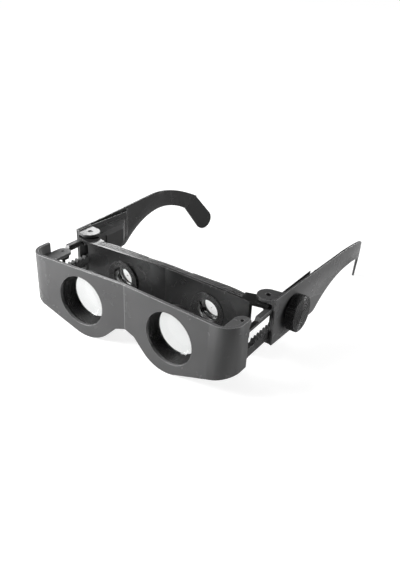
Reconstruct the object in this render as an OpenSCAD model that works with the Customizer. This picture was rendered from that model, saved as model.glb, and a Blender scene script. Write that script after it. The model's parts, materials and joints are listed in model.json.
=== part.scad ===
// Binocular glasses: two small Galilean telescopes carried on a spectacle frame.
// X runs across the face, Y runs from the front panel back to the ears, Z is up.
// Each piece is drawn with the optical axes at z = 0 and the front panel's crease at y = 0.
// stand() then sets the whole part on the table. Side pieces are drawn at +X and mirrored.

/* [Layout] */
// Distance between the two optical axes
pupil_gap = 63; // [60:0.5:66]
// Height of the optical axes above the table
axis_height = 22.6; // [21.6:0.1:25]
// Half of the width over the temple fronts
half_width = 72.3; // [71.5:0.1:76]
// How far each end of the front panel stays inside the temple plate
panel_inset = 1.1; // [0.4:0.1:1.7]
// Distance from the front panel's crease to the rear panel's crease
panel_gap = 36.6; // [35:0.2:42]
// Lean of each half panel away from the crease, in degrees
panel_tilt = 3.2; // [0:0.2:4]

/* [Front panel] */
// Height of the top edge above the optical axes
panel_top = 20.6; // [20.4:0.1:24]
// Wall of the front panel
panel_wall = 2; // [1.6:0.1:2.6]
// Radius of the rounded corner between face and wing
corner_r = 10.3; // [8:0.1:11]
// Clear radius of each objective hole
rim_r = 15.45; // [14.5:0.05:15.6]
// Radius of the lobe under each objective
lobe_r = 21.5; // [20.5:0.1:23]
// How far each lobe lies inboard of its optical axis
lobe_inset = 3; // [1:0.1:5]
// Rise of the bottom edge from lobe to wing, in degrees
skirt_angle = 20.2; // [16:0.2:22]
// Depth of the nose notch's apex below the optical axes
notch_depth = 7.5; // [6:0.1:10]
// Distance from the crease back to the pivot pins
pivot_set = 17.4; // [16:0.1:19]
// Radius of the pivot ears
ear_r = 4.7; // [4.2:0.1:5]
// Thickness of the pivot ears
ear_wall = 2; // [1.6:0.1:2.4]

/* [Objectives] */
// Number of glare ribs in each barrel
rib_count = 7; // [5:1:8]
// Pitch of the glare ribs along the barrel
rib_pitch = 1.05; // [0.9:0.01:1.2]
// Height of a glare rib
rib_height = 0.35; // [0.2:0.05:0.5]
// Drop of the barrel radius from one rib to the next
rib_step = 0.17; // [0.1:0.01:0.18]
// Wall of the barrel around its mouth
barrel_wall = 1.45; // [1.2:0.05:1.6]
// Radius of the objective lens
objective_r = 14.5; // [14.3:0.1:14.8]
// Radius of curvature of the objective's two faces
objective_curve = 55; // [45:1:90]
// Thickness of the objective at its edge
objective_edge = 1; // [0.8:0.1:2]
// Length of the objective's retaining ring
objective_ring_length = 0.9; // [0.8:0.1:1.6]
// Length of the eye lens's retaining ring
ring_length = 1.4; // [1:0.1:2]

/* [Rear panel] */
// Distance from the rear crease back to the hinge pins
hinge_set = 5.7; // [5:0.1:6.5]
// Wall of the rear panel
rear_wall = 2; // [1.6:0.1:2.4]
// Distance from the rear crease back to the edge of the brow ledge
ledge_depth = 4.9; // [4:0.1:6]
// Radius of the lobe under each eyepiece
rear_lobe_r = 18; // [16:0.1:18.4]
// Slope of the nose notch between the eyepieces, in degrees
nose_slope = 25; // [22:0.5:26]
// Length of the nose rests behind the rear panel
nose_length = 8; // [6:0.5:10]

/* [Eyepieces] */
// Clear radius of the eyepiece
eye_clear_r = 7; // [6:0.05:7.2]
// Number of stepped rings around the eyepiece
eye_steps = 5; // [4:1:5]
// Width of one stepped ring
eye_step_w = 0.85; // [0.75:0.05:0.95]
// Depth of one stepped ring
eye_step_d = 0.12; // [0.05:0.01:0.2]
// Height of the eyepiece's front above the panel's face
eye_proud = 0.9; // [0.7:0.1:1.5]
// Depth of the lens seat behind the panel's face
eye_seat_depth = 2.6; // [2:0.1:3.5]
// Radius of the eyepiece lens
eye_lens_r = 8.8; // [8:0.1:9.2]
// Radius of curvature of the eyepiece lens
eye_curve = 24; // [20:1:40]
// Thickness of the eyepiece lens at its centre
eye_centre = 0.9; // [0.8:0.1:1.5]

/* [Temples] */
// Wall of the temple at its front, where it carries the rack
plate_wall = 2.2; // [1.8:0.1:2.4]
// Wall of the arm and of the ear tip
arm_wall = 1.3; // [1.1:0.1:1.6]
// Outward flare of the temples, in degrees
flare = 2.9; // [1:0.1:3]
// Distance from the hinge forward to the temple's front edge
plate_lead = 5; // [4.8:0.1:6]
// Length of the temple's straight top edge
arm_length = 78.7; // [76:0.1:90]
// Distance from the end of the straight edge to the fold of the ear tip
hook_length = 46.5; // [45:0.1:48]
// Radius of the upper curve over the ear
hook_top_r = 105; // [95:1:115]
// Radius of the lower curve over the ear
hook_low_r = 61.4; // [58:0.2:65]
// Least height of the arm over the ear
arm_waist = 13.4; // [12:0.2:15]
// Radius of the inward sweep behind the ear
sweep_r = 126; // [115:1:220]
// Rise of the fold line between arm and ear tip, in degrees
fold_rise = 37.7; // [35:0.1:40]
// Inward bend of the ear tip at its fold, in degrees
fold_bend = 3; // [2:0.5:12]
// Half width of the ear tip
tip_r = 7.8; // [7:0.1:8.2]
// Radius of the temple's hinge ear
hinge_ear_r = 6.3; // [5.8:0.1:6.6]
// Radius of the hinge pin
hinge_pin_r = 1.5; // [1.2:0.05:1.7]

/* [Focus drive] */
// Distance from the hinge back to the knob axis
knob_set = 14; // [13.6:0.1:16]
// Height of the knob axis above the optical axes
knob_rise = 5.75; // [5.5:0.05:6.2]
// Gear module of rack and pinion
gear_module = 1; // [0.96:0.01:1.03]
// Number of pinion teeth
pinion_teeth = 8; // [8:1:8]
// Thickness of the rack
rack_wall = 3; // [2.6:0.1:3.2]
// Height of the toothed bar below its teeth
bar_height = 5.35; // [4.8:0.05:5.6]
// Height of the plain upper bar
rail_height = 1.5; // [1.3:0.05:1.8]
// Forward travel of each rack from its place here
travel_out = 4.5; // [3:0.5:6]
// Backward travel of each rack from its place here
travel_in = 2.5; // [2:0.5:3]
// Radius of the focus knob
knob_r = 10.6; // [9.5:0.1:11]
// Length of the focus knob
knob_length = 6.2; // [5.5:0.1:9]
// Number of knurl ridges on the knob
knurl_count = 60; // [40:2:72]
// Radius of the pinion shaft
shaft_r = 2; // [1.8:0.05:2.2]
// Radius of the pivot pins
pivot_pin_r = 1; // [0.9:0.05:1.2]

/* [Fits] */
// Radial clearance of a turning pin or shaft
run_gap = 0.05; // [0.03:0.01:0.08]
// Radial clearance of a part pressed or cemented into its seat
seat_gap = 0.03; // [0.02:0.01:0.05]
// Clearance between sliding or turning flat faces
slide_gap = 0.2; // [0.15:0.05:0.25]
// Sideways play of the right pivot pin in its slot
slot_play = 0.3; // [0.2:0.05:0.9]

/* [Hidden] */
$fn = 96;

// Plan positions, from the crease of the front panel
far = 200;
skin = 0.6;
// Arcs stand this much proud of the straight edges they run into, so that the two cross cleanly
tuck = 0.003;
lens_x = pupil_gap / 2;
rear_y = panel_gap;
pivot_y = pivot_set;
hinge_y = rear_y + hinge_set;
plate_y = hinge_y - plate_lead;
knob_y = hinge_y + knob_set;

// The side stack, from the temple plate inward
panel_half = half_width - panel_inset;
plate_in = half_width - plate_wall;
rack_out = plate_in - slide_gap;
rack_in = rack_out - rack_wall;
lip_out = rack_in - slide_gap;
boss_wall = 1.5;
bush_wall = 0.9;
bush_r = pivot_pin_r + run_gap + bush_wall;
boss_r = bush_r + run_gap + boss_wall;
pivot_x = rack_in - 2.8;
hinge_x = rack_in - 1.9;
rear_half = hinge_x - hinge_ear_r;
cover_out = rack_in - slide_gap - 0.05;
cover_wall = 1.4;
cover_in = cover_out - cover_wall;
housing_in = cover_out + seat_gap;

// Heights of the rack, its guides and the hinge ears
pitch_r = gear_module * pinion_teeth / 2;
pitch_z = knob_rise - pitch_r;
rack_add = 0.7 * gear_module;
rack_ded = 1.1 * gear_module;
pinion_tip_r = pitch_r + 0.9 * gear_module;
pinion_root_r = pitch_r - rack_add - 0.2;
root_z = pitch_z - rack_ded;
bar_low = root_z - bar_height;
slot_top = knob_rise + pinion_tip_r + 0.25;
rail_top = slot_top + rail_height;
guide_low = rail_top + slide_gap;
guide_top = guide_low + 1.9;
lug_low = guide_top + 0.1;
ledge_top = lug_low + 2.05;
collar_top = ledge_top + 0.65;
hinge_ear_low = collar_top + 0.1;
hinge_ear_top = hinge_ear_low + 2;
plate_top = hinge_ear_top + 1.2;
floor_top = bar_low - slide_gap;
floor_low = floor_top - 2.7;
plate_low = floor_low - 0.4;
boss_rise = 0.3;
upper_ear_low = rail_top + boss_rise + 0.15;
lower_ear_top = bar_low - 0.15;

// The two face planes and the rounded wing corner
corner_x = panel_half - corner_r;
corner_y = (corner_r - corner_x * sin(panel_tilt)) / cos(panel_tilt);
wing_end = pivot_y - ear_r - slide_gap;
front_y = min(0, corner_y - corner_r);

// Rack length and teeth
tooth_pitch = PI * gear_module;
pressure = 25;
flank_play = 0.07;
slot_end = knob_y + pinion_tip_r + travel_out + 0.3;
rack_end = slot_end + 2.2;
rack_stop = rack_end + travel_in + 0.3;
tooth_first = ceil((pivot_y + boss_r + 2 - knob_y) / tooth_pitch - 0.5);
tooth_last = floor((slot_end - 1 - knob_y) / tooth_pitch - 0.5);
guide_front = pivot_y + ear_r + travel_in + 0.1;

// The housing on the inner side of each temple
cover_y = hinge_y + 3.6;
lower_ear_r = cover_y - hinge_y - 0.15;
post_r = 1.9;
pad_y = knob_y + 0.8;
pad = 0.6;
housing_end = rack_stop + 8.3;
thick_end = housing_end + 10;
box_top = guide_top + 2.2;

// The ear tip
arm_high = plate_top;
low_arc_y = arm_length + 9.8;
low_arc_z = arm_high - arm_waist - hook_low_r;
sweep_y = arm_length + 6.3;
fold_y = arm_length + hook_length;
fold_z = 2.7;
fold_half = 6.8;
fold_yaw = asin((fold_y - sweep_y) / sweep_r);
fold_x = sweep_r * cos(fold_yaw) - sweep_r;
tip_drop = cos(fold_rise) * cos(fold_bend);
tip_spread = sqrt(pow(sin(fold_rise), 2) + pow(cos(fold_rise) * cos(fold_bend), 2));
tip_length = (axis_height + fold_z - tip_r * tip_spread) / tip_drop;

// Rearmost point of the ear tip, which centres the part over its origin
function turn(v, a) = [v[0] * cos(a) - v[1] * sin(a), v[0] * sin(a) + v[1] * cos(a), v[2]];
tip_way = turn([-sin(fold_bend), cos(fold_bend) * sin(fold_rise), -tip_drop], fold_yaw - flare);
tip_face = turn([cos(fold_bend), sin(fold_bend) * sin(fold_rise), 0], fold_yaw - flare);
fold_place = turn([fold_x, fold_y, 0], -flare);
rear_point = plate_y + fold_place[1] + tip_way[1] * tip_length
    + tip_r * sqrt(1 - pow(tip_face[1], 2));
mid_y = (front_y + rear_point) / 2;

// Barrel and eyepiece stations along Y
function sag(curve, r) = curve - sqrt(pow(curve, 2) - pow(r, 2));
face_at = lens_x * tan(-panel_tilt);
barrel_front = face_at + panel_wall / cos(panel_tilt);
rib_start = rim_r * sin(panel_tilt) + 0.1 - 0.6 * rib_pitch;
seat_y = barrel_front + rib_start + rib_count * rib_pitch;
barrel_r = rim_r + barrel_wall;
seat_r = objective_r + seat_gap;
shoulder_r = rim_r - (rib_count - 1) * rib_step - rib_height;
objective_ring_r = objective_r - 0.8;
barrel_tail_r = seat_r + 0.45;
bulge = sag(objective_curve, objective_r);
objective_y = seat_y + seat_gap + bulge - sag(objective_curve, shoulder_r);
objective_ring_y = objective_y + objective_edge + seat_gap;
barrel_end = objective_ring_y + objective_ring_length;
collar_wall = 0.9;
collar_end = seat_y - 3.9;
eye_front = rear_y + face_at;
eye_holder_r = eye_clear_r + eye_steps * eye_step_w;
eye_seat_y = eye_front + eye_seat_depth;
eye_dish = sag(eye_curve, eye_lens_r - 0.8);
eye_edge = eye_centre + 2 * eye_dish;
eye_lens_y = eye_seat_y + seat_gap;
eye_ring_y = eye_lens_y + eye_edge + seat_gap;
eye_end = eye_ring_y + ring_length;
cup_length = 2.95;
cup_r = eye_holder_r - 0.35;

// The knob stack, outboard of the temple plate
plate_at_knob = half_width + (knob_y - plate_y) * tan(flare);
bearing_end = plate_at_knob + 0.45;
washer_t = 0.5;
knob_in = bearing_end + washer_t + 0.1;
shaft_end = knob_in + 3.7;
screw_r = 0.95;
screw_head_r = 2;
screw_head_t = 1.1;
knurl_depth = 0.4;

module stand() translate([0, -mid_y, axis_height]) children();
module at_left() mirror([1, 0, 0]) children();
module both_sides() {
    children();
    mirror([1, 0, 0]) children();
}
// A profile drawn as (radius, distance along Y), turned about an axis along +Y
module turned_y(from) translate([lens_x, from, 0]) rotate([-90, 0, 0]) rotate_extrude() children();
// A cylinder along +Y or along +X
module rod_y(r, from, to) translate([0, from, 0]) rotate([-90, 0, 0]) cylinder(r = r, h = to - from);
module rod_x(r, from, to) translate([from, 0, 0]) rotate([0, 90, 0]) cylinder(r = r, h = to - from);
module rod_z(r, from, to) translate([0, 0, from]) cylinder(r = r, h = to - from);
module block(low, high) translate(low) cube(high - low);
// A (y, z) outline given a thickness in X
module side_plate(from, to) translate([from, 0, 0]) rotate([90, 0, 90]) linear_extrude(to - from) children();
// An (x, z) outline given a length in Y
module front_plate(from, to) translate([0, to, 0]) rotate([90, 0, 0]) linear_extrude(to - from) children();

// Plan of everything behind the front face, sunk in by depth
module front_plan(depth, back) {
    reach = corner_r - depth;
    polygon([[0, depth / cos(panel_tilt)],
        [corner_x - reach * sin(panel_tilt), corner_y - reach * cos(panel_tilt)],
        [corner_x, corner_y],
        [panel_half - depth, corner_y],
        [panel_half - depth, back],
        [0, back]]);
    intersection() {
        translate([corner_x, corner_y]) circle(r = reach + tuck);
        translate([corner_x - far / 2, corner_y - far / 2]) square([far, far / 2 + 1]);
    }
}

// Outline of the front panel seen from the front, right half
module front_outline() {
    lobe_x = lens_x - lobe_inset;
    lobe_z = lobe_r - axis_height;
    out_x = lobe_x + lobe_r * sin(skirt_angle);
    out_z = lobe_z - lobe_r * cos(skirt_angle);
    in_x = lobe_x - lobe_r * sin(45);
    in_z = lobe_z - lobe_r * cos(45);
    bend_x = in_x / 2;
    intersection() {
        union() {
            polygon([[0, panel_top],
                [panel_half + 1, panel_top],
                [panel_half + 1, out_z + (panel_half + 1 - out_x) * tan(skirt_angle)],
                [out_x, out_z],
                [lobe_x, lobe_z],
                [in_x, in_z],
                [bend_x, in_z + in_x - bend_x],
                [0, -notch_depth]]);
            translate([lobe_x, lobe_z]) circle(r = lobe_r + tuck);
        }
        translate([0, -far]) square([far, far + panel_top]);
    }
}

module pivot_ear(low, high) {
    intersection() {
        translate([0, 0, low]) linear_extrude(high - low) front_plan(skin, far);
        translate([pivot_x, 0, 0]) union() {
            block([-ear_r, -far, low], [ear_r, pivot_y, high]);
            translate([0, pivot_y, 0]) rod_z(ear_r, low, high);
        }
    }
}

// Moulded shell with wings, barrel collars and the four pivot ears
module front_half() {
    difference() {
        union() {
            intersection() {
                translate([0, 0, -far / 2]) linear_extrude(far)
                    difference() {
                        front_plan(0, wing_end);
                        front_plan(panel_wall, wing_end + 1);
                    }
                front_plate(front_y - 1, far) front_outline();
            }
            intersection() {
                translate([lens_x, 0, 0]) rod_y(barrel_r + seat_gap + collar_wall, -5, collar_end);
                translate([0, 0, -far / 2]) linear_extrude(far) front_plan(skin, far);
            }
            pivot_ear(upper_ear_low, upper_ear_low + ear_wall);
            pivot_ear(lower_ear_top - ear_wall, lower_ear_top);
        }
        translate([lens_x, 0, 0]) rod_y(rim_r, -5, collar_end + 1);
        barrel_socket();
        translate([pivot_x, pivot_y, 0]) {
            rod_z(pivot_pin_r + run_gap, lower_ear_top - ear_wall - 1, upper_ear_low + ear_wall + 1);
        }
    }
}

// Space that the barrel fills, square to the tilted panel at its front
module barrel_socket() {
    intersection() {
        translate([lens_x, 0, 0]) rod_y(barrel_r + seat_gap, -5, collar_end + 1);
        translate([0, 0, -far / 2]) linear_extrude(far) front_plan(panel_wall, far);
    }
}

module front_panel() color("#26282b") stand() both_sides() front_half();

// Stepped tube whose inner ribs kill stray light
module objective_barrel() {
    crest = [for (i = [0 : rib_count - 1]) each [
        [rim_r - i * rib_step, rib_start + i * rib_pitch],
        [rim_r - i * rib_step, rib_start + (i + 0.6) * rib_pitch],
        [rim_r - i * rib_step - rib_height, rib_start + (i + 0.6) * rib_pitch],
        [rim_r - i * rib_step - rib_height, rib_start + (i + 1) * rib_pitch]]];
    body_end = barrel_end - barrel_front;
    shoulder = seat_y - barrel_front;
    intersection() {
        turned_y(barrel_front)
            polygon(concat([[barrel_r, -2], [rim_r, -2]], crest,
                [[seat_r, shoulder], [seat_r, body_end], [barrel_tail_r, body_end],
                [barrel_tail_r + 0.1, shoulder], [barrel_r, collar_end - barrel_front + 0.2]]));
        translate([0, 0, -far / 2]) linear_extrude(far) front_plan(panel_wall + slide_gap / 4, far);
    }
}
module objective_barrel_right() color("#121314") stand() objective_barrel();
module objective_barrel_left() color("#121314") stand() at_left() objective_barrel();

// Biconvex lens, seated against the barrel's shoulder
module objective_lens() {
    turned_y(objective_y) intersection() {
        translate([0, -bulge]) square([objective_r, objective_edge + 2 * bulge]);
        translate([0, objective_curve - bulge]) circle(r = objective_curve, $fn = 720);
        translate([0, objective_edge + bulge - objective_curve]) circle(r = objective_curve, $fn = 720);
    }
}
module objective_lens_right() color([0.86, 0.9, 0.93, 0.5]) stand() objective_lens();
module objective_lens_left() color([0.86, 0.9, 0.93, 0.5]) stand() at_left() objective_lens();

// Snap ring that holds the objective in its barrel
module objective_ring() {
    lift = bulge - sag(objective_curve, objective_ring_r);
    turned_y(objective_ring_y)
        polygon([[objective_r, 0], [objective_r, objective_ring_length],
            [objective_ring_r, objective_ring_length],
            [objective_ring_r, lift]]);
}
module objective_ring_right() color("#1a1b1d") stand() objective_ring();
module objective_ring_left() color("#1a1b1d") stand() at_left() objective_ring();

// Steel pin through both ears of the front panel
module pivot_pin() {
    translate([pivot_x, pivot_y, 0])
        rod_z(pivot_pin_r, lower_ear_top - ear_wall, upper_ear_low + ear_wall);
}
module pivot_pin_right() color("#8b8e92") stand() pivot_pin();
module pivot_pin_left() color("#8b8e92") stand() at_left() pivot_pin();

// Turning bush in each boss of the left rack
module pivot_bush(low, high) {
    difference() {
        rod_z(bush_r, low, high);
        rod_z(pivot_pin_r + run_gap, low - 1, high + 1);
    }
}
module pivot_bushes_left() {
    color("#2a2b2d") stand() at_left() translate([pivot_x, pivot_y, 0]) {
        pivot_bush(bar_low, root_z);
        pivot_bush(slot_top - boss_rise * 2, rail_top + boss_rise);
    }
}

// Outline of one rack tooth about its own centre line
function rack_tooth(y) = [
    [y - tooth_pitch / 4 - rack_ded * tan(pressure) + flank_play, root_z - 0.01],
    [y + tooth_pitch / 4 + rack_ded * tan(pressure) - flank_play, root_z - 0.01],
    [y + tooth_pitch / 4 - rack_add * tan(pressure) - flank_play, pitch_z + rack_add],
    [y - tooth_pitch / 4 + rack_add * tan(pressure) + flank_play, pitch_z + rack_add]];

module rack_arm(low, high) {
    translate([pivot_x, pivot_y, 0]) {
        rod_z(boss_r, low, high);
        block([0, -2.6, low], [rack_in - pivot_x + 1, 2.6, high]);
    }
}

// Long U that slides in the temple: plain bar above, toothed bar below
module rack(pin_hole) {
    bar_front = pivot_y - 2.6;
    difference() {
        union() {
            side_plate(rack_in, rack_out) {
                polygon([[bar_front, bar_low], [rack_end - 3, bar_low],
                    [rack_end, bar_low + 3], [rack_end, rail_top],
                    [bar_front, rail_top], [bar_front, slot_top], [slot_end, slot_top],
                    [slot_end, root_z], [bar_front, root_z]]);
                for (i = [tooth_first : tooth_last])
                    polygon(rack_tooth(knob_y + (i + 0.5) * tooth_pitch));
            }
            rack_arm(bar_low, root_z);
            rack_arm(slot_top - boss_rise * 2, rail_top + boss_rise);
        }
        translate([pivot_x, pivot_y, 0]) children();
    }
}
module rack_left() {
    color("#3a3c3f") stand() at_left() rack() rod_z(bush_r + run_gap, -far, far);
}
// The right pivot floats in a slot, which takes up the small change in span as the temples sway
module rack_right() {
    slot_r = pivot_pin_r + slide_gap;
    color("#3a3c3f") stand() rack() union() {
        translate([-slot_play, 0, 0]) rod_z(slot_r, -far, far);
        translate([slot_play, 0, 0]) rod_z(slot_r, -far, far);
        block([-slot_play, -slot_r, -far], [slot_play, slot_r, far]);
    }
}

// Side view of the temple, from its front edge to the fold of the ear tip
module temple_outline() {
    fold_run = 22;
    fillet_r = 8;
    fillet_z = plate_low + fillet_r;
    fillet_y = low_arc_y - sqrt(pow(hook_low_r + fillet_r, 2) - pow(fillet_z - low_arc_z, 2));
    share = fillet_r / (hook_low_r + fillet_r);
    fold = [cos(fold_rise), sin(fold_rise)];
    difference() {
        intersection() {
            union() {
                translate([0, plate_low]) square([arm_length, arm_high - plate_low]);
                intersection() {
                    translate([arm_length, arm_high - hook_top_r]) circle(r = hook_top_r, $fn = 180);
                    translate([arm_length - 1, plate_low]) square([far, arm_high - plate_low]);
                }
            }
            polygon([[0, plate_low], [0, arm_high],
                [fold_y + fold_run * fold[0], arm_high],
                [fold_y + fold_run * fold[0], fold_z + fold_run * fold[1]],
                [fold_y - fold_run * fold[0], fold_z - fold_run * fold[1]]]);
        }
        translate([low_arc_y, low_arc_z]) circle(r = hook_low_r, $fn = 180);
        difference() {
            translate([fillet_y, plate_low - 1])
                square([share * (low_arc_y - fillet_y), 1 + fillet_r - share * (fillet_z - low_arc_z)]);
            translate([fillet_y, fillet_z]) circle(r = fillet_r);
        }
    }
}

// Plan of the plate: straight, then swept inward behind the ear
module temple_ribbon() {
    translate([-arm_wall, 0]) square([arm_wall, sweep_y + 0.01]);
    translate([-sweep_r, sweep_y]) intersection() {
        difference() {
            circle(r = sweep_r, $fn = 360);
            circle(r = sweep_r - arm_wall, $fn = 360);
        }
        translate([sweep_r / 2, 0]) square([sweep_r, sweep_r / 2]);
    }
}

module ear_tip() {
    translate([fold_x, fold_y, fold_z]) rotate([0, 0, fold_yaw]) rotate([fold_rise, 0, 0])
        rotate([0, fold_bend, 0]) side_plate(-arm_wall, 0) {
            polygon([[-fold_half, 0.3], [fold_half, 0.3], [tip_r, -tip_length], [-tip_r, -tip_length]]);
            translate([0, -tip_length]) circle(r = tip_r);
        }
}

// Everything inboard of the plate's outer face
module inboard(from, to) {
    lean = tan(flare);
    translate([0, 0, -far / 2]) linear_extrude(far) polygon([[0, from], [0, to],
        [half_width - skin + (to - plate_y) * lean, to],
        [half_width - skin + (from - plate_y) * lean, from]]);
}

// Side view of the housing, with its lower rear corner cut off behind the rack's tail
module housing_outline(front, top) {
    polygon([[front, floor_low], [rack_stop - 2, floor_low], [rack_stop + 0.6, floor_low + 3.4],
        [rack_stop + 0.6, -0.3], [housing_end, 3.2],
        [housing_end, top - 1.2], [groove_start, top], [groove_start, min(top, guide_top)],
        [front, min(top, guide_top)]]);
}

// Cuts that slope the roof and the rear end of the box, and the groove between its lip and the plate
lip_x = plate_in - 0.8;
groove_start = hinge_y + hinge_ear_r + 0.8;
function wall_x(y) = half_width + (y - plate_y) * tan(flare) - arm_wall / cos(flare);
module box_slopes(front) {
    low_x = cover_in - pad;
    roof = (box_top - slot_top - 0.3) / (lip_x - low_x);
    tail = (thick_end - rack_stop - 2.6) / (wall_x(thick_end) - low_x);
    front_plate(front, far) polygon([[low_x - 2, box_top - roof * (lip_x - low_x + 2)],
        [lip_x + 0.3, box_top + roof * 0.3], [lip_x + 0.3, collar_top], [low_x - 2, collar_top]]);
    translate([0, 0, -far / 2]) linear_extrude(far) polygon([[low_x - 2, rack_stop + 2.6 - 2 * tail],
        [wall_x(thick_end) + 1, thick_end + tail], [wall_x(thick_end) + 1, far], [low_x - 2, far]]);
}
module box_groove() {
    end = thick_end - 7;
    intersection() {
        side_plate(lip_x + 1, far) polygon([[groove_start, guide_top], [end, guide_top],
            [end + 1.5, box_top], [end + 4.5, plate_top - 1], [end + 4.5, far], [groove_start, far]]);
        linear_extrude(far) polygon([[lip_x, 0], [lip_x, far],
            [wall_x(far) + 0.2, far], [wall_x(0) + 0.2, 0]]);
    }
}

// Guides, walls and screw posts that hold the rack and pinion
module housing() {
    lip_end = cover_y - 0.1;
    difference() {
        intersection() {
            inboard(plate_y, thick_end);
            box_body(lip_end);
        }
        box_slopes(cover_y);
        box_groove();
    }
    side_plate(rack_in + 0.1, plate_in + 0.3)
        polygon([[guide_front, guide_low], [guide_front + 1.2, guide_top],
            [cover_y + 1, guide_top], [cover_y + 1, guide_low]]);
}

module box_body(lip_end) {
    side_plate(plate_in, far) polygon([[plate_y, floor_low], [rack_stop - 2, floor_low],
        [rack_stop + 0.6, floor_low + 3.4], [thick_end - 4, 0], [thick_end, 4],
        [thick_end, plate_top - 1.8], [groove_start, plate_top - 0.5], [plate_y, plate_top - 0.5]]);
    block([housing_in, plate_y, floor_low], [far, rack_stop - 2.1, floor_top]);
    block([housing_in, plate_y, guide_low], [far, rack_stop + 0.1, guide_top]);
    side_plate(housing_in, far) intersection() {
        housing_outline(plate_y, box_top);
        union() {
            translate([rack_stop, floor_low]) square([far, far]);
            translate([plate_y, guide_low]) square([far, far]);
            translate([rack_stop - 3, floor_low]) square([4, floor_top - floor_low]);
        }
    }
    block([cover_in, plate_y, floor_low], [lip_out, lip_end, floor_top + 1.6]);
    block([cover_in, plate_y, guide_low - 1.5], [lip_out, lip_end, guide_top]);
    translate([0, screw_place[0], screw_place[1]]) rod_x(post_r, housing_in, far);
}

module hinge_ears() {
    translate([hinge_x, hinge_y, 0]) {
        rod_z(lower_ear_r, guide_low, guide_top);
        block([0, -5, guide_low], [plate_in - hinge_x + 0.5, lower_ear_r, guide_top]);
        rod_z(hinge_ear_r, hinge_ear_low, hinge_ear_top);
    }
    translate([0, 0, hinge_ear_low]) linear_extrude(hinge_ear_top - hinge_ear_low)
        polygon([[hinge_x, hinge_y - hinge_ear_r], [plate_in + 0.5, plate_y],
            [plate_in + 0.5, hinge_y + hinge_ear_r + 0.7], [hinge_x, hinge_y + hinge_ear_r]]);
}

screw_depth = 4;
screw_place = [knob_y - pinion_tip_r - post_r - 1.2, (pitch_z + rack_add + slot_top) / 2];

// One moulding: plate, ear tip, hinge ears and rack housing
module temple() {
    difference() {
        union() {
            translate([half_width, plate_y, 0]) rotate([0, 0, -flare]) {
                intersection() {
                    translate([0, 0, -far / 2]) linear_extrude(far) temple_ribbon();
                    side_plate(-far, far) temple_outline();
                }
                ear_tip();
            }
            housing();
            hinge_ears();
            translate([0, knob_y, knob_rise]) rod_x(4.2, plate_in, bearing_end);
        }
        translate([0, knob_y, knob_rise]) rod_x(shaft_r + run_gap, plate_in - 1, bearing_end + 1);
        translate([hinge_x, hinge_y, 0]) rod_z(hinge_pin_r + seat_gap, guide_low - 1, hinge_ear_top + 1);
        translate([0, screw_place[0], screw_place[1]])
            rod_x(screw_r + seat_gap, housing_in - 1, housing_in + screw_depth + 0.5);
    }
}
module temple_right() color("#1e2022") stand() temple();
module temple_left() color("#1e2022") stand() at_left() temple();

// Cover over the rack and pinion: one screw in front, cemented round its raised rear half
module gear_cover() {
    difference() {
        union() {
            side_plate(cover_in, cover_out) housing_outline(cover_y, box_top);
            side_plate(cover_in - pad, cover_in + 0.1) intersection() {
                housing_outline(cover_y, box_top);
                translate([pad_y, floor_low - 1]) square([far, far]);
            }
        }
        box_slopes(cover_y - 1);
        translate([0, screw_place[0], screw_place[1]]) rod_x(screw_r + 0.1, cover_in - 1, cover_out + 1);
    }
}
module gear_cover_right() color("#232527") stand() gear_cover();
module gear_cover_left() color("#232527") stand() at_left() gear_cover();

// Self-tapping screw with a slotted pan head
module cover_screw() {
    head_r = 1.7;
    translate([0, screw_place[0], screw_place[1]]) {
        difference() {
            rod_x(head_r, cover_in - 1, cover_in - 0.03);
            block([cover_in - 2, -head_r - 1, -0.25], [cover_in - 0.55, head_r + 1, 0.25]);
        }
        rod_x(screw_r, cover_in - 0.04, housing_in + screw_depth);
    }
}
module cover_screw_right() color("#54575b") stand() cover_screw();
module cover_screw_left() color("#54575b") stand() at_left() cover_screw();

// Steel pin pressed into both hinge ears of the temple
module hinge_pin() translate([hinge_x, hinge_y, 0]) rod_z(hinge_pin_r, guide_low, hinge_ear_top - 0.4);
module hinge_pin_right() color("#7c7f83") stand() hinge_pin();
module hinge_pin_left() color("#7c7f83") stand() at_left() hinge_pin();

// Involute of the pinion's base circle, as half the tooth angle at a radius
function involute(a) = tan(a) - a * PI / 180;
function tooth_half(r, base) = (PI / (2 * pinion_teeth) + involute(pressure) - involute(acos(base / r))
    - flank_play / pitch_r) * 180 / PI;
base_r = pitch_r * cos(pressure);
flank = [for (i = [0 : 4]) base_r + 0.001 + (pinion_tip_r - base_r) * i / 4];
tooth_side = concat([[pinion_root_r, tooth_half(flank[0], base_r)]],
    [for (r = flank) [r, tooth_half(r, base_r)]]);
function polar(r, a) = [r * cos(a), r * sin(a)];
tooth_rise = [for (p = tooth_side) [p[0], -p[1]]];
tooth_fall = [for (i = [len(tooth_side) - 1 : -1 : 0]) tooth_side[i]];

// Gear and shaft in one piece, bored for the knob's screw
module pinion() {
    translate([0, knob_y, knob_rise]) difference() {
        union() {
            side_plate(rack_in, rack_out) {
                circle(r = pinion_root_r);
                for (i = [0 : pinion_teeth - 1])
                    polygon(concat([[0, 0]],
                        [for (p = concat(tooth_rise, tooth_fall))
                            polar(p[0], p[1] + i * 360 / pinion_teeth - 90)]));
            }
            rod_x(shaft_r, rack_out - 0.5, shaft_end);
        }
        rod_x(screw_r + seat_gap, rack_in - 1, shaft_end + 1);
        rod_x(screw_head_r + 0.15, rack_in - 1, rack_in + screw_head_t + 0.1);
    }
}
module pinion_right() color("#6e7175") stand() pinion();
module pinion_left() color("#6e7175") stand() at_left() pinion();

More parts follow.
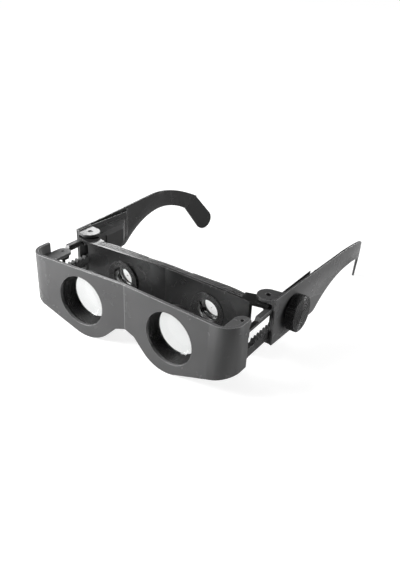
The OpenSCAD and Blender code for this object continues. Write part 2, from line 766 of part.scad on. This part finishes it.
// Knurled knob whose face carries raised rings
module knob() {
    rings = 5;
    ring_pitch = (knob_r - knurl_depth - 2.6) / rings;
    ring_gap = 0.35;
    face = knob_in + knob_length - 0.9;
    knurl = [for (i = [0 : knurl_count - 1], j = [0, 0.3, 0.5, 0.8])
        polar(j < 0.4 ? knob_r : knob_r - knurl_depth, (i + j) * 360 / knurl_count)];
    rim_top = knob_r - knurl_depth;
    terraces = [for (i = [0 : rings - 1]) each [
        [rim_top - i * ring_pitch, 0.3 + 0.1 * i],
        [rim_top - (i + 1 - ring_gap) * ring_pitch, 0.35 + 0.1 * i],
        [rim_top - (i + 1 - ring_gap) * ring_pitch, 0],
        [rim_top - (i + 1) * ring_pitch, 0]]];
    translate([0, knob_y, knob_rise]) difference() {
        union() {
            side_plate(knob_in, face) polygon(knurl);
            translate([face - 0.01, 0, 0]) rotate([0, 90, 0]) rotate_extrude()
                polygon(concat([[0, -0.5], [rim_top, -0.5]], terraces,
                    [[rim_top - rings * ring_pitch, 0.9], [0, 0.9]]));
        }
        rod_x(shaft_r + seat_gap, knob_in - 1, shaft_end + 0.1);
        rod_x(screw_r + seat_gap, knob_in, shaft_end + 1.4);
    }
}
module knob_right() color("#151617") stand() knob();
module knob_left() color("#151617") stand() at_left() knob();

// Thin spring washer that gives the knob its drag
module knob_washer() {
    translate([0, knob_y, knob_rise]) difference() {
        rod_x(5.2, bearing_end + 0.05, bearing_end + 0.05 + washer_t);
        rod_x(shaft_r + 0.1, bearing_end - 1, knob_in + 1);
    }
}
module knob_washer_right() color("#9a9da1") stand() knob_washer();
module knob_washer_left() color("#9a9da1") stand() at_left() knob_washer();

// Screw through the hollow shaft into the knob
module knob_screw() {
    translate([0, knob_y, knob_rise]) difference() {
        union() {
            rod_x(screw_head_r, rack_in + 0.05, rack_in + 0.05 + screw_head_t);
            rod_x(screw_r, rack_in + screw_head_t, shaft_end + 1.2);
        }
        block([rack_in - 1, -3, -0.3], [rack_in + 0.5, 3, 0.3]);
    }
}
module knob_screw_right() color("#7f8286") stand() knob_screw();
module knob_screw_left() color("#7f8286") stand() at_left() knob_screw();

// Plan of everything behind the rear panel's face, sunk in by depth
module rear_plan(depth, back) {
    run = rear_half - depth;
    start = rear_y + depth / cos(panel_tilt);
    polygon([[0, start], [run, start - run * tan(panel_tilt)], [run, back], [0, back]]);
}

// Height of the nose notch's edge, which runs into the lobe without a corner
bridge_half = 5;
function nose_edge(x) = (lens_x - x) * tan(nose_slope) - rear_lobe_r / cos(nose_slope);

// Outline of the rear panel seen from the front, right half
module rear_outline() {
    side_low = -8;
    away = [rear_half - lens_x, side_low];
    reach = norm(away);
    touch = atan2(away[1], away[0]) - acos(rear_lobe_r / reach);
    apex = nose_edge(bridge_half);
    polygon([[0, ledge_top], [rear_half, ledge_top], [rear_half, side_low],
        [lens_x + rear_lobe_r * cos(touch), rear_lobe_r * sin(touch)],
        [lens_x, 0],
        [lens_x - rear_lobe_r * sin(nose_slope), -rear_lobe_r * cos(nose_slope)],
        [bridge_half, apex], [0, apex]]);
    intersection() {
        translate([lens_x, 0]) circle(r = rear_lobe_r + tuck);
        translate([0, -far]) square([far, far + 1]);
    }
}

// Flat lug that carries the hinge, in line with the brow ledge
module hinge_lug() {
    lug_r = 4.4;
    difference() {
        union() {
            translate([0, 0, lug_low]) linear_extrude(ledge_top - lug_low) {
                polygon([[rear_half - 7, rear_y - (rear_half - 7) * tan(panel_tilt) + 0.3],
                    [rear_half, rear_y - rear_half * tan(panel_tilt)],
                    [hinge_x + lug_r - 0.8, hinge_y - 7.2],
                    [hinge_x + lug_r, hinge_y],
                    [hinge_x, hinge_y + lug_r],
                    [rear_half - 0.7, hinge_y + 0.8],
                    [rear_half - 7, hinge_y - 1]]);
                translate([hinge_x, hinge_y]) circle(r = lug_r);
            }
            translate([hinge_x, hinge_y, 0]) rod_z(4, ledge_top - 0.1, collar_top);
        }
        translate([hinge_x, hinge_y, 0]) rod_z(hinge_pin_r + run_gap, lug_low - 1, collar_top + 1);
    }
}

// Moulded rear frame: plate, brow ledge, end walls, hinge lugs and nose rests
module rear_half_frame() {
    ledge_back = rear_y + ledge_depth;
    ledge_curve = 62;
    ledge_flat = rear_half - 20.7;
    wall_back = rear_y + 0.2;
    difference() {
        union() {
            intersection() {
                translate([0, 0, -far / 2]) linear_extrude(far) difference() {
                    rear_plan(0, wall_back + 5);
                    rear_plan(rear_wall, far);
                    translate([lens_x, wall_back + 0.2]) square([far, far]);
                }
                front_plate(0, far) rear_outline();
            }
            translate([0, 0, lug_low]) linear_extrude(ledge_top - lug_low) intersection() {
                rear_plan(0, far);
                union() {
                    square([ledge_flat, ledge_back]);
                    translate([ledge_flat, ledge_back - ledge_curve]) circle(r = ledge_curve, $fn = 180);
                }
            }
            hinge_lug();
            nose_rest();
            intersection() {
                translate([lens_x, 0, 0]) rod_y(eye_holder_r + seat_gap + 1.3, 0, eye_end - 3);
                translate([0, 0, -far / 2]) linear_extrude(far) rear_plan(skin, far);
            }
        }
        translate([lens_x, 0, 0]) rod_y(eye_holder_r + seat_gap, 0, far);
        for (i = [1, 2, 3]) ledge_groove(1.7 * i);
    }
}

// Shallow groove along the ledge, parallel to the panel's face
module ledge_groove(inset) {
    groove_w = 0.7;
    groove_d = 0.45;
    translate([0, rear_y + inset, 0]) rotate([0, 0, -panel_tilt])
        block([-2, 0, ledge_top - groove_d], [rear_half - 6, groove_w, ledge_top + 1]);
}

module nose_rest() {
    rest_t = 1.8;
    inner = bridge_half + 0.6;
    outer = lens_x - rear_lobe_r * sin(nose_slope) - 1.5;
    front_plate(rear_y - 1, rear_y + rear_wall + nose_length)
        polygon([[inner, nose_edge(inner)], [outer, nose_edge(outer)],
            [outer, nose_edge(outer) + rest_t], [inner, nose_edge(inner) + rest_t]]);
}

module rear_panel() color("#202224") stand() both_sides() rear_half_frame();

// Holder with concentric ridges facing the objective
module eyepiece_holder() {
    groove_d = 0.3;
    steps = [for (i = [0 : eye_steps - 1]) each [
        [eye_holder_r - i * eye_step_w, i * eye_step_d],
        [eye_holder_r - (i + 0.6) * eye_step_w, i * eye_step_d],
        [eye_holder_r - (i + 0.6) * eye_step_w, i * eye_step_d + groove_d],
        [eye_holder_r - (i + 1) * eye_step_w, i * eye_step_d + groove_d]]];
    seat = eye_seat_depth + eye_proud;
    body_end = eye_end - eye_front + eye_proud;
    turned_y(eye_front - eye_proud)
        polygon(concat(steps, [[eye_clear_r, seat], [eye_lens_r + seat_gap, seat],
            [eye_lens_r + seat_gap, body_end], [cup_r, body_end],
            [cup_r, body_end - cup_length], [eye_holder_r, body_end - cup_length]]));
}
module eyepiece_holder_right() color("#191a1c") stand() eyepiece_holder();
module eyepiece_holder_left() color("#191a1c") stand() at_left() eyepiece_holder();

// Biconcave eye lens
module eyepiece_lens() {
    turned_y(eye_lens_y) difference() {
        square([eye_lens_r, eye_edge]);
        translate([0, eye_dish - eye_curve]) circle(r = eye_curve, $fn = 720);
        translate([0, eye_edge - eye_dish + eye_curve]) circle(r = eye_curve, $fn = 720);
    }
}
module eyepiece_lens_right() color([0.86, 0.9, 0.93, 0.5]) stand() eyepiece_lens();
module eyepiece_lens_left() color([0.86, 0.9, 0.93, 0.5]) stand() at_left() eyepiece_lens();

// Ring that holds the eye lens from behind
module eyepiece_ring() {
    translate([lens_x, 0, 0]) difference() {
        rod_y(eye_lens_r, eye_ring_y, eye_end);
        rod_y(eye_lens_r - 1.6, eye_ring_y - 1, eye_end + 1);
    }
}
module eyepiece_ring_right() color("#191a1c") stand() eyepiece_ring();
module eyepiece_ring_left() color("#191a1c") stand() at_left() eyepiece_ring();

front_panel();
objective_barrel_left();
objective_barrel_right();
objective_lens_left();
objective_lens_right();
objective_ring_left();
objective_ring_right();
pivot_pin_left();
pivot_pin_right();
pivot_bushes_left();
rack_left();
rack_right();
temple_left();
temple_right();
gear_cover_left();
gear_cover_right();
cover_screw_left();
cover_screw_right();
hinge_pin_left();
hinge_pin_right();
pinion_left();
pinion_right();
knob_left();
knob_right();
knob_washer_left();
knob_washer_right();
knob_screw_left();
knob_screw_right();
rear_panel();
eyepiece_holder_left();
eyepiece_holder_right();
eyepiece_lens_left();
eyepiece_lens_right();
eyepiece_ring_left();
eyepiece_ring_right();
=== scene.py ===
# Binocular glasses: two small telescopes on a spectacle frame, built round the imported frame.
import json
import math

import bpy
from mathutils import Matrix, Vector

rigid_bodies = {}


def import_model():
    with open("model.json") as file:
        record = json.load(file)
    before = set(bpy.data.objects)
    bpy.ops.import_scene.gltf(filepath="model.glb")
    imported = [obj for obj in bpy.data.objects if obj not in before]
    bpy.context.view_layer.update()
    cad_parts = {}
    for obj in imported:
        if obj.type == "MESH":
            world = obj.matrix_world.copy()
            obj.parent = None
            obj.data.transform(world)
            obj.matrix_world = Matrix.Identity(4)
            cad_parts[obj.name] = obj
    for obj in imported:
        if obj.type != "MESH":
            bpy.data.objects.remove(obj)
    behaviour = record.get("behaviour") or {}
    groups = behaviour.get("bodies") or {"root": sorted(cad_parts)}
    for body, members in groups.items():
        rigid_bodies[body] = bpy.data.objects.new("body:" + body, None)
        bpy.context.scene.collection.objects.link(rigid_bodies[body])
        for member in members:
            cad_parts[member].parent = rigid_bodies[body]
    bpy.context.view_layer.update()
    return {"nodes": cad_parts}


for leftover in list(bpy.data.objects):
    bpy.data.objects.remove(leftover)
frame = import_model()
nodes = frame["nodes"]


# Camera
# A small camera stands a hand's span above the table, to the wearer's left of the glasses, and
# looks down at them. Its place and angles were solved from the round rims of the lenses.
camera_place = (0.18783, -0.30101, 0.19915)
camera_turn = math.radians(33.36)
camera_rise = math.radians(28.77)
camera_roll = math.radians(2.65)
camera_back = Vector(
    (
        math.sin(camera_turn) * math.cos(camera_rise),
        -math.cos(camera_turn) * math.cos(camera_rise),
        math.sin(camera_rise),
    )
)
level_right = Vector((math.cos(camera_turn), math.sin(camera_turn), 0))
level_up = camera_back.cross(level_right)
camera_right = level_right * math.cos(camera_roll) + level_up * math.sin(camera_roll)
camera_up = level_up * math.cos(camera_roll) - level_right * math.sin(camera_roll)
camera_data = bpy.data.cameras.new("studio_camera")
camera_data.sensor_fit = "VERTICAL"
camera_data.sensor_height = 36
camera_data.lens = 37.844
camera_data.clip_start = 0.01
camera_data.clip_end = 30
camera = bpy.data.objects.new("studio_camera", camera_data)
bpy.context.scene.collection.objects.link(camera)
pose = Matrix((camera_right, camera_up, camera_back)).transposed().to_4x4()
camera.matrix_world = Matrix.Translation(camera_place) @ pose
bpy.context.scene.camera = camera
bpy.context.scene.view_settings.view_transform = "Standard"


# Table and studio
# The glasses stand on a pale matt table in front of a white paper sweep, in a dim room. Softboxes
# stand close on the left and right, with a faint one low in front. A big one stands far behind on
# the right, and a small one behind on the left draws the glint on the brow ledge.
def put(tree, kind, settings=None, **plugs):
    """One shader node. Plugs named i0, i1 and so on go by number, the others by their label."""
    node = tree.nodes.new("ShaderNode" + kind)
    for key, value in (settings or {}).items():
        setattr(node, key, value)
    for key, value in plugs.items():
        numbered = key[0] == "i" and key[1:].isdigit()
        socket = node.inputs[int(key[1:])] if numbered else node.inputs[key.replace("_", " ")]
        if isinstance(value, bpy.types.NodeSocket):
            tree.links.new(value, socket)
        else:
            socket.default_value = value
    return node


def reckon(tree, operation, *terms):
    """One sum on values, such as a product or the larger of two."""
    plugs = {f"i{number}": term for number, term in enumerate(terms)}
    return put(tree, "Math", {"operation": operation}, **plugs).outputs[0]


def spread(tree, value, start, end, at_start, at_end):
    """Runs evenly from at_start to at_end while the value runs from start to end."""
    return put(tree, "MapRange", i0=value, i1=start, i2=end, i3=at_start, i4=at_end).outputs[0]


def seen_as(tree, by_eye, by_gloss, otherwise):
    """One strength for the camera and through glass, one for reflections, one for falling light."""
    path = put(tree, "LightPath").outputs
    eye = reckon(tree, "MAXIMUM", path["Is Camera Ray"], path["Is Transmission Ray"])
    gloss = spread(tree, path["Is Glossy Ray"], 0.0, 1.0, otherwise, by_gloss)
    return put(tree, "Mix", {"data_type": "FLOAT"}, i0=eye, i2=gloss, i3=by_eye).outputs[0]


MM = 0.001
table_half = 3.0
table_drop = 0.1 * MM
table_grey = 0.45
table_mesh = bpy.data.meshes.new("table_top")
corners = [(-1, -1), (1, -1), (1, 1), (-1, 1)]
table_points = [(x * table_half, y * table_half, 0) for x, y in corners]
table_mesh.from_pydata(table_points, [], [(0, 1, 2, 3)])
table = bpy.data.objects.new("table_top", table_mesh)
table.location.z = -table_drop
bpy.context.scene.collection.objects.link(table)
table_paint = bpy.data.materials.new("white_table_paint")
table_paint.use_nodes = True
tree = table_paint.node_tree
tree.nodes.clear()
matt = put(tree, "BsdfDiffuse", Color=(table_grey, table_grey, table_grey, 1))
# The eye sees the table grow whiter with distance, until it meets the paper. Distances are in m.
white_near, white_far = 0.78, 1.0
grows_from, grows_to = 0.15, 0.6
spot = put(tree, "TexCoord").outputs["Object"]
from_centre = put(tree, "VectorMath", {"operation": "LENGTH"}, i0=spot).outputs["Value"]
whiteness = spread(tree, from_centre, grows_from, grows_to, white_near, white_far)
shown = seen_as(tree, by_eye=1.0, by_gloss=0.0, otherwise=0.0)
lift = reckon(tree, "MULTIPLY", shown, whiteness)
glow = put(tree, "Emission", Color=(1, 1, 1, 1), Strength=lift)
both = put(tree, "AddShader", i0=matt.outputs[0], i1=glow.outputs[0])
put(tree, "OutputMaterial", Surface=both.outputs[0])
table_mesh.materials.append(table_paint)

# The eye sees white paper, while the glasses mirror the dim room, so that black stays black.
room_level = 0.03
world = bpy.data.worlds.new("paper_and_room")
bpy.context.scene.world = world
world.use_nodes = True
tree = world.node_tree
tree.nodes.clear()
shown = seen_as(tree, by_eye=1.0, by_gloss=room_level, otherwise=room_level)
paper = put(tree, "Background", Color=(1, 1, 1, 1), Strength=shown)
put(tree, "OutputWorld", Surface=paper.outputs[0])

# Each lamp: name, turn round the glasses, height angle, distance and width in m, strength in W.
middle = Vector((0, -0.02, 0.02))
for name, turn, rise, away, wide, watts in (
    ("key_softbox", -42, 35, 0.4, 0.24, 2.1),
    ("low_left_softbox", -60, 20, 0.4, 0.24, 0.7),
    ("low_front_softbox", -12, 9, 0.4, 0.2, 0.1),
    ("right_softbox", 105, 11, 0.4, 0.24, 0.8),
    ("back_softbox", 160, 12, 1.0, 0.6, 7.0),
    ("ledge_softbox", -130.5, 25, 0.51, 0.09, 0.24),
):
    lamp_data = bpy.data.lights.new(name, "AREA")
    lamp_data.shape = "DISK"
    lamp_data.size = wide
    lamp_data.energy = watts
    lamp = bpy.data.objects.new(name, lamp_data)
    bpy.context.scene.collection.objects.link(lamp)
    turn, rise = math.radians(turn), math.radians(rise)
    level = math.cos(rise)
    aim = Vector((math.sin(turn) * level, -math.cos(turn) * level, math.sin(rise)))
    lamp.location = middle + aim * away
    lamp.rotation_euler = aim.to_track_quat("Z", "Y").to_euler()


# Front panel
# The front panel is one moulding in black ABS that hangs on the racks by two pivot pins. Its two
# halves meet in a slight crease over the nose, which gets a painted highlight line. The mould is
# polished, so the faces are glossy with a faint waviness where the plastic sank, and cloth and case
# rub the corners lighter, partly wear and partly painted highlight. Its grey is painted lighter
# than the rear panel's, as the lit copy of the same plastic.
def shader_group(name, takes, gives):
    """An empty shader node group with named inputs and outputs."""
    group = bpy.data.node_groups.new(name, "ShaderNodeTree")
    for label, value in takes:
        socket = group.interface.new_socket(label, in_out="INPUT", socket_type="NodeSocketFloat")
        socket.default_value = value
    for label in gives:
        group.interface.new_socket(label, in_out="OUTPUT", socket_type="NodeSocketFloat")
    inside = group.nodes
    return group, inside.new("NodeGroupInput").outputs, inside.new("NodeGroupOutput").inputs


def place(tree, group, **values):
    """One use of a node group in a material, with its own values."""
    node = tree.nodes.new("ShaderNodeGroup")
    node.node_tree = group
    for key, value in values.items():
        node.inputs[key.replace("_", " ")].default_value = value
    return node.outputs


def in_mm(tree):
    """The piece's own coordinates in millimetres."""
    where = put(tree, "TexCoord").outputs["Object"]
    return put(tree, "VectorMath", {"operation": "SCALE"}, i0=where, Scale=1 / MM).outputs[0]


def clouds(tree, size, **settings):
    """Soft noise whose patches are about so many millimetres wide."""
    scale = reckon(tree, "DIVIDE", 1.0, size)
    return put(tree, "TexNoise", Vector=in_mm(tree), Scale=scale, **settings).outputs["Fac"]


# Mould skin: the fine etched grain of the tool and the slow waves of sink, as a height in mm.
mould_skin, takes, gives = shader_group(
    "mould skin",
    [("Grain Size", 0.4), ("Grain Depth", 0.001), ("Sink Size", 16.0), ("Sink Depth", 0.012)],
    ["Height", "Mottle"],
)
grain = clouds(mould_skin, takes["Grain Size"], Detail=2.0, Roughness=0.6)
sink = clouds(mould_skin, takes["Sink Size"], Detail=1.0, Roughness=0.4)
low = reckon(mould_skin, "MULTIPLY", sink, takes["Sink Depth"])
height = reckon(mould_skin, "MULTIPLY_ADD", grain, takes["Grain Depth"], low)
mould_skin.links.new(height, gives["Height"])
mould_skin.links.new(sink, gives["Mottle"])

# Edge rub and painted highlight: where cloth and case polish the corners, broken into patches. The
# lighter corners also stand in for the highlights that the edges catch. It is found from the cosine
# between a face's normal and that of a rounded corner: 4 degrees apart at the start of the rub and
# 22 where it is full.
rub_and_highlight_starts, rub_and_highlight_full = 0.998, 0.93
patch_low, patch_high = 0.38, 0.62
edge_rub_and_highlight, takes, gives = shader_group(
    "edge rub and highlight", [("Reach", 0.35), ("Patch Size", 3.0), ("Least", 0.15)], ["Mask"]
)
reach = reckon(edge_rub_and_highlight, "MULTIPLY", takes["Reach"], MM)
rounded = put(edge_rub_and_highlight, "Bevel", {"samples": 8}, Radius=reach).outputs[0]
face = put(edge_rub_and_highlight, "NewGeometry").outputs["Normal"]
cosine = put(edge_rub_and_highlight, "VectorMath", {"operation": "DOT_PRODUCT"}, i0=rounded, i1=face)
corner = spread(edge_rub_and_highlight, cosine.outputs["Value"], rub_and_highlight_starts, rub_and_highlight_full, 0.0, 1.0)
patch = clouds(edge_rub_and_highlight, takes["Patch Size"], Detail=4.0, Roughness=0.65)
broken = spread(edge_rub_and_highlight, patch, patch_low, patch_high, takes["Least"], 1.0)
edge_rub_and_highlight.links.new(reckon(edge_rub_and_highlight, "MULTIPLY", corner, broken), gives["Mask"])

# Handling: soft patches of skin grease, and specks of dust on the faces that look up. A speck's
# core and rim are shares of the gap between specks.
smear_low, smear_high = 0.42, 0.68
speck_core, speck_rim = 0.03, 0.07
steep, nearly_level = 0.3, 0.9
handling, takes, gives = shader_group(
    "handling", [("Smudge Size", 9.0), ("Dust Gap", 1.6)], ["Smudge", "Dust"]
)
smear = clouds(handling, takes["Smudge Size"], Detail=5.0, Roughness=0.6, Distortion=0.6)
smudge = spread(handling, smear, smear_low, smear_high, 0.0, 1.0)
handling.links.new(smudge, gives["Smudge"])
per_dust = reckon(handling, "DIVIDE", 1.0, takes["Dust Gap"])
specks = put(handling, "TexVoronoi", Vector=in_mm(handling), Scale=per_dust, Randomness=1.0)
specks = spread(handling, specks.outputs["Distance"], speck_core, speck_rim, 1.0, 0.0)
face = put(handling, "NewGeometry").outputs["Normal"]
upward = put(handling, "SeparateXYZ", i0=face).outputs["Z"]
upward = spread(handling, upward, steep, nearly_level, 0.0, 1.0)
handling.links.new(reckon(handling, "MULTIPLY", specks, upward), gives["Dust"])


def grey(level):
    """A grey or black that is one part in a hundred bluer than neutral."""
    return (level, level, level * 1.01, 1)


def mix_colour(tree, share, first, second):
    """The first colour where the share is 0 and the second where it is 1."""
    return put(tree, "Mix", {"data_type": "RGBA"}, i0=share, i6=first, i7=second).outputs[2]


# How far a face turns sideways before it counts wholly as an outer or an inner one.
side_blend = 0.4


def lit_outer_side(tree):
    """1 where a face looks away from the middle of the glasses and 0 where it looks inward, so that
    the outer side gets the lit grey and the inner side the painted shade.
    """
    surface = put(tree, "NewGeometry").outputs
    side = put(tree, "SeparateXYZ", i0=surface["Position"]).outputs["X"]
    toward = put(tree, "SeparateXYZ", i0=surface["Normal"]).outputs["X"]
    outward = reckon(tree, "MULTIPLY", reckon(tree, "SIGN", side), toward)
    return spread(tree, outward, -side_blend, side_blend, 0.0, 1.0)


# The glasses look along -Y, and a face whose normal has less than this along Y looks ahead.
ahead = -0.95


def flat_normal(tree, from_middle, flat_half):
    """The flat halves keep their faces' bare normal, so that the crease between stays sharp."""
    surface = put(tree, "NewGeometry").outputs
    forward = put(tree, "SeparateXYZ", i0=surface["True Normal"]).outputs["Y"]
    forward = reckon(tree, "LESS_THAN", forward, ahead)
    flat = reckon(tree, "MULTIPLY", reckon(tree, "LESS_THAN", from_middle, flat_half), forward)
    ends = {"i4": surface["Normal"], "i5": surface["True Normal"]}
    return put(tree, "Mix", {"data_type": "VECTOR"}, i0=flat, **ends).outputs[1]


# What use does to a black plastic: grease dulls it, rubbing polishes it and dust greys it. The
# rubbed corners are painted lighter, partly as wear and partly as painted highlight. The inner
# sides, painted as the shaded side, get less of it, and the tone drifts with the mottle of the
# sink.
grease_dulls = 0.03
rub_polishes = 0.05
dust_covers = 0.3
dust_colour = (0.25, 0.24, 0.22, 1)
inner_rub_and_highlight = 0.3
tone_drift = 0.05
mottle_low, mottle_high = 0.3, 0.7
# A painted highlight line on the crest, full and gone at these distances in mm from the middle.
crest_highlight_full, crest_highlight_gone = 0.1, 0.22


def moulded(
    name, colour, rubbed_and_highlit, rough, shaded_inner=None, reach=0.35, least=0.15, flat_half=0, crest_highlight=0.0
):
    """A moulded black plastic: its grey, the grey of rubbed corners, which is partly wear and
    partly painted highlight, and its roughness, then the darker grey of the inner side, painted as
    its shaded side, how far the rub reaches in mm and its least strength, and the half width in mm
    of a flat front with the strength of the painted highlight line on its crest."""
    material = bpy.data.materials.new(name)
    material.use_nodes = True
    tree = material.node_tree
    tree.nodes.clear()
    skin = place(tree, mould_skin)
    rub_and_highlight = place(tree, edge_rub_and_highlight, Reach=reach, Least=least)["Mask"]
    marks = place(tree, handling)
    bump = put(tree, "Bump", Strength=1.0, Distance=MM, Height=skin["Height"])
    if flat_half:
        across = put(tree, "SeparateXYZ", i0=in_mm(tree)).outputs["X"]
        from_middle = reckon(tree, "ABSOLUTE", across)
        # The crest gets a painted highlight line.
        crest_highlight_line = spread(tree, from_middle, crest_highlight_full, crest_highlight_gone, crest_highlight, 0.0)
        rub_and_highlight = reckon(tree, "MAXIMUM", rub_and_highlight, crest_highlight_line)
        tree.links.new(flat_normal(tree, from_middle, flat_half), bump.inputs["Normal"])
    if shaded_inner is None:
        tone = spread(tree, skin["Mottle"], mottle_low, mottle_high, 0.0, 1.0)
        darker = grey(colour * (1 - tone_drift))
        lighter = grey(colour * (1 + tone_drift))
        body = mix_colour(tree, tone, darker, lighter)
    else:
        # The outer side gets the lit grey and the inner side a darker grey as painted shade.
        outward = lit_outer_side(tree)
        body = mix_colour(tree, outward, grey(shaded_inner), grey(colour))
        rub_and_highlight = reckon(tree, "MULTIPLY", rub_and_highlight, spread(tree, outward, 0.0, 1.0, inner_rub_and_highlight, 1.0))
    # The rubbed corners and the crest line are painted lighter, partly wear, partly painted
    # highlight.
    body = mix_colour(tree, rub_and_highlight, body, grey(rubbed_and_highlit))
    dusty = reckon(tree, "MULTIPLY", marks["Dust"], dust_covers)
    body = mix_colour(tree, dusty, body, dust_colour)
    shine = spread(tree, marks["Smudge"], 0.0, 1.0, rough, rough + grease_dulls)
    shine = reckon(tree, "MULTIPLY_ADD", rub_and_highlight, -rub_polishes, shine)
    finish = {"Base_Color": body, "Roughness": shine, "Normal": bump.outputs[0]}
    plastic = put(tree, "BsdfPrincipled", IOR=1.5, **finish)
    put(tree, "OutputMaterial", Surface=plastic.outputs[0])
    return material


# Points nearer than the weld gap are joined, faces that bend less than the flat bend count as one,
# and corners that bend more than the corner bend are rounded.
weld_gap = 0.012 * MM
flat_bend = math.radians(1.5)
corner_bend = math.radians(38)
corner_steps = 2


def dress(name, material, radius):
    """Gives a frame node its material and the small corner radius, in mm, of the real piece."""
    piece = nodes[name]
    piece.data.materials.clear()
    piece.data.materials.append(material)
    if radius:
        weld = piece.modifiers.new("joined seams", "WELD")
        weld.merge_threshold = weld_gap
        flat = piece.modifiers.new("whole faces", "DECIMATE")
        flat.decimate_type = "DISSOLVE"
        flat.angle_limit = flat_bend
        corner = piece.modifiers.new("corner radius", "BEVEL")
        corner.width = radius * MM
        corner.segments = corner_steps
        corner.limit_method = "ANGLE"
        corner.angle_limit = corner_bend
        corner.harden_normals = True
        corner.use_clamp_overlap = False


front_lit_black = moulded(
    "front_panel_lit_black",
    colour=0.1,
    rubbed_and_highlit=0.6,
    rough=0.25,
    reach=0.45,
    least=0.7,
    flat_half=57,
    crest_highlight=0.35,
)
dress("front_panel", front_lit_black, radius=0.22)

# Rear panel
# The rear panel is the second moulding in the same ABS. It carries the eyepieces and the brow
# ledge with its moulded grooves. Its black is painted deeper than the front panel's, as the shaded
# copy of the same plastic, and its corners get less of the rub and painted highlight.
rear_shaded_black = moulded(
    "rear_panel_shaded_black",
    colour=0.018,
    rubbed_and_highlit=0.12,
    rough=0.25,
    reach=0.15,
    least=0.3,
    flat_half=55,
)
dress("rear_panel", rear_shaded_black, radius=0.18)

# Temples
# Each temple is one ABS moulding with the hinge ears, the guide and the box for the rack. Its outer
# face is painted a lighter grey as the lit side and its inner side a deep black as painted shade,
# though both are the same plastic.
temple_lit_and_shaded_black = moulded(
    "temple_lit_and_shaded_black", colour=0.11, rubbed_and_highlit=0.5, rough=0.25, shaded_inner=0.025, least=0.4
)
for side in ("left", "right"):
    dress("temple_" + side, temple_lit_and_shaded_black, radius=0.16)

# Racks, pinions and covers
# The racks slide in the temples, driven by the pinions under the knobs. Both are moulded in black
# acetal, a slippery plastic, and two bushes turned from it line the left rack's pivot. A thin ABS
# cover closes the box of each temple on its inner side.
# The edges of racks and covers are painted lighter, partly as rub and partly as painted highlight.
rack_black = moulded("rack_black", colour=0.04, rubbed_and_highlit=0.5, rough=0.26, reach=0.25, least=0.5)
cover_black = moulded("cover_black", colour=0.03, rubbed_and_highlit=0.12, rough=0.28)
for side in ("left", "right"):
    dress("rack_" + side, rack_black, radius=0.12)
    dress("pinion_" + side, rack_black, radius=0.05)
    dress("gear_cover_" + side, cover_black, radius=0.12)
dress("pivot_bushes_left", rack_black, radius=0)

# Barrels and rings
# The barrels are moulded in dull black ABS and cemented into the collars of the front panel. Their
# ribs keep stray light off the lens, and a snap ring behind each objective holds it.
# The edges of the ribs and rings are painted lighter as painted highlights.
barrel_black = moulded("barrel_black", colour=0.004, rubbed_and_highlit=0.5, rough=0.4, reach=0.07, least=0.8)
for side in ("left", "right"):
    dress("objective_barrel_" + side, barrel_black, radius=0.05)
    dress("objective_ring_" + side, barrel_black, radius=0.05)

# Eyepieces
# The holders of the eye lenses are moulded in the same ABS and seated in the rear panel. Fine
# concentric steps in front catch the light, and their edges are painted lighter as painted
# highlights; a ring behind holds each lens.
eyepiece_black = moulded(
    "eyepiece_black", colour=0.014, rubbed_and_highlit=0.35, rough=0.26, reach=0.12, least=0.8
)
for side in ("left", "right"):
    dress("eyepiece_holder_" + side, eyepiece_black, radius=0.05)
    dress("eyepiece_ring_" + side, barrel_black, radius=0.05)

# Lenses
# All four lenses are moulded acrylic, clear with a slight grey cast. The big ones gather the light
# and bulge on both sides; the small ones at the eye curve inward, as in an opera glass.
lens_tint = (0.79, 0.8, 0.795, 1)
lens_haze = 0.03
acrylic = bpy.data.materials.new("acrylic_lens")
acrylic.use_nodes = True
tree = acrylic.node_tree
tree.nodes.clear()
marks = place(tree, handling, Smudge_Size=5.0)
haze = spread(tree, marks["Smudge"], 0.0, 1.0, 0.0, lens_haze)
clear = put(
    tree, "BsdfPrincipled", Base_Color=lens_tint, Roughness=haze, IOR=1.49, Transmission_Weight=1.0
)
put(tree, "OutputMaterial", Surface=clear.outputs[0])
for side in ("left", "right"):
    dress("objective_lens_" + side, acrylic, radius=0)
    dress("eyepiece_lens_" + side, acrylic, radius=0)

# Knobs
# The focus knobs are moulded ABS with a knurled rim and raised rings on the face. Fingers keep the
# crests of the knurls and rings polished, and the crests are painted lighter, partly as that wear
# and partly as painted highlight.
knob_black = moulded("knob_black", colour=0.02, rubbed_and_highlit=0.32, rough=0.24, reach=0.22, least=0.7)
for side in ("left", "right"):
    dress("knob_" + side, knob_black, radius=0.08)


# Pins, screws and washers
# The pins and screws are blackened steel, and the washer under each knob is bare spring steel.
# Oil from the hands dulls and darkens the metal in patches.
oil_dulls = 0.12
oil_darkens = 0.7


def machined(name, colour, rough):
    """A machined metal with its grey, its roughness and oil marks."""
    material = bpy.data.materials.new(name)
    material.use_nodes = True
    tree = material.node_tree
    tree.nodes.clear()
    marks = place(tree, handling, Smudge_Size=3.0)
    shine = spread(tree, marks["Smudge"], 0.0, 1.0, rough, rough + oil_dulls)
    body = mix_colour(tree, marks["Smudge"], grey(colour), grey(colour * oil_darkens))
    metal = put(tree, "BsdfPrincipled", Base_Color=body, Roughness=shine, Metallic=1.0)
    put(tree, "OutputMaterial", Surface=metal.outputs[0])
    return material


blackened = machined("blackened_steel", colour=0.03, rough=0.35)
spring = machined("spring_steel", colour=0.45, rough=0.28)
for side in ("left", "right"):
    for part in ("pivot_pin_", "hinge_pin_", "knob_screw_", "cover_screw_"):
        dress(part + side, blackened, radius=0)
    dress("knob_washer_" + side, spring, radius=0)
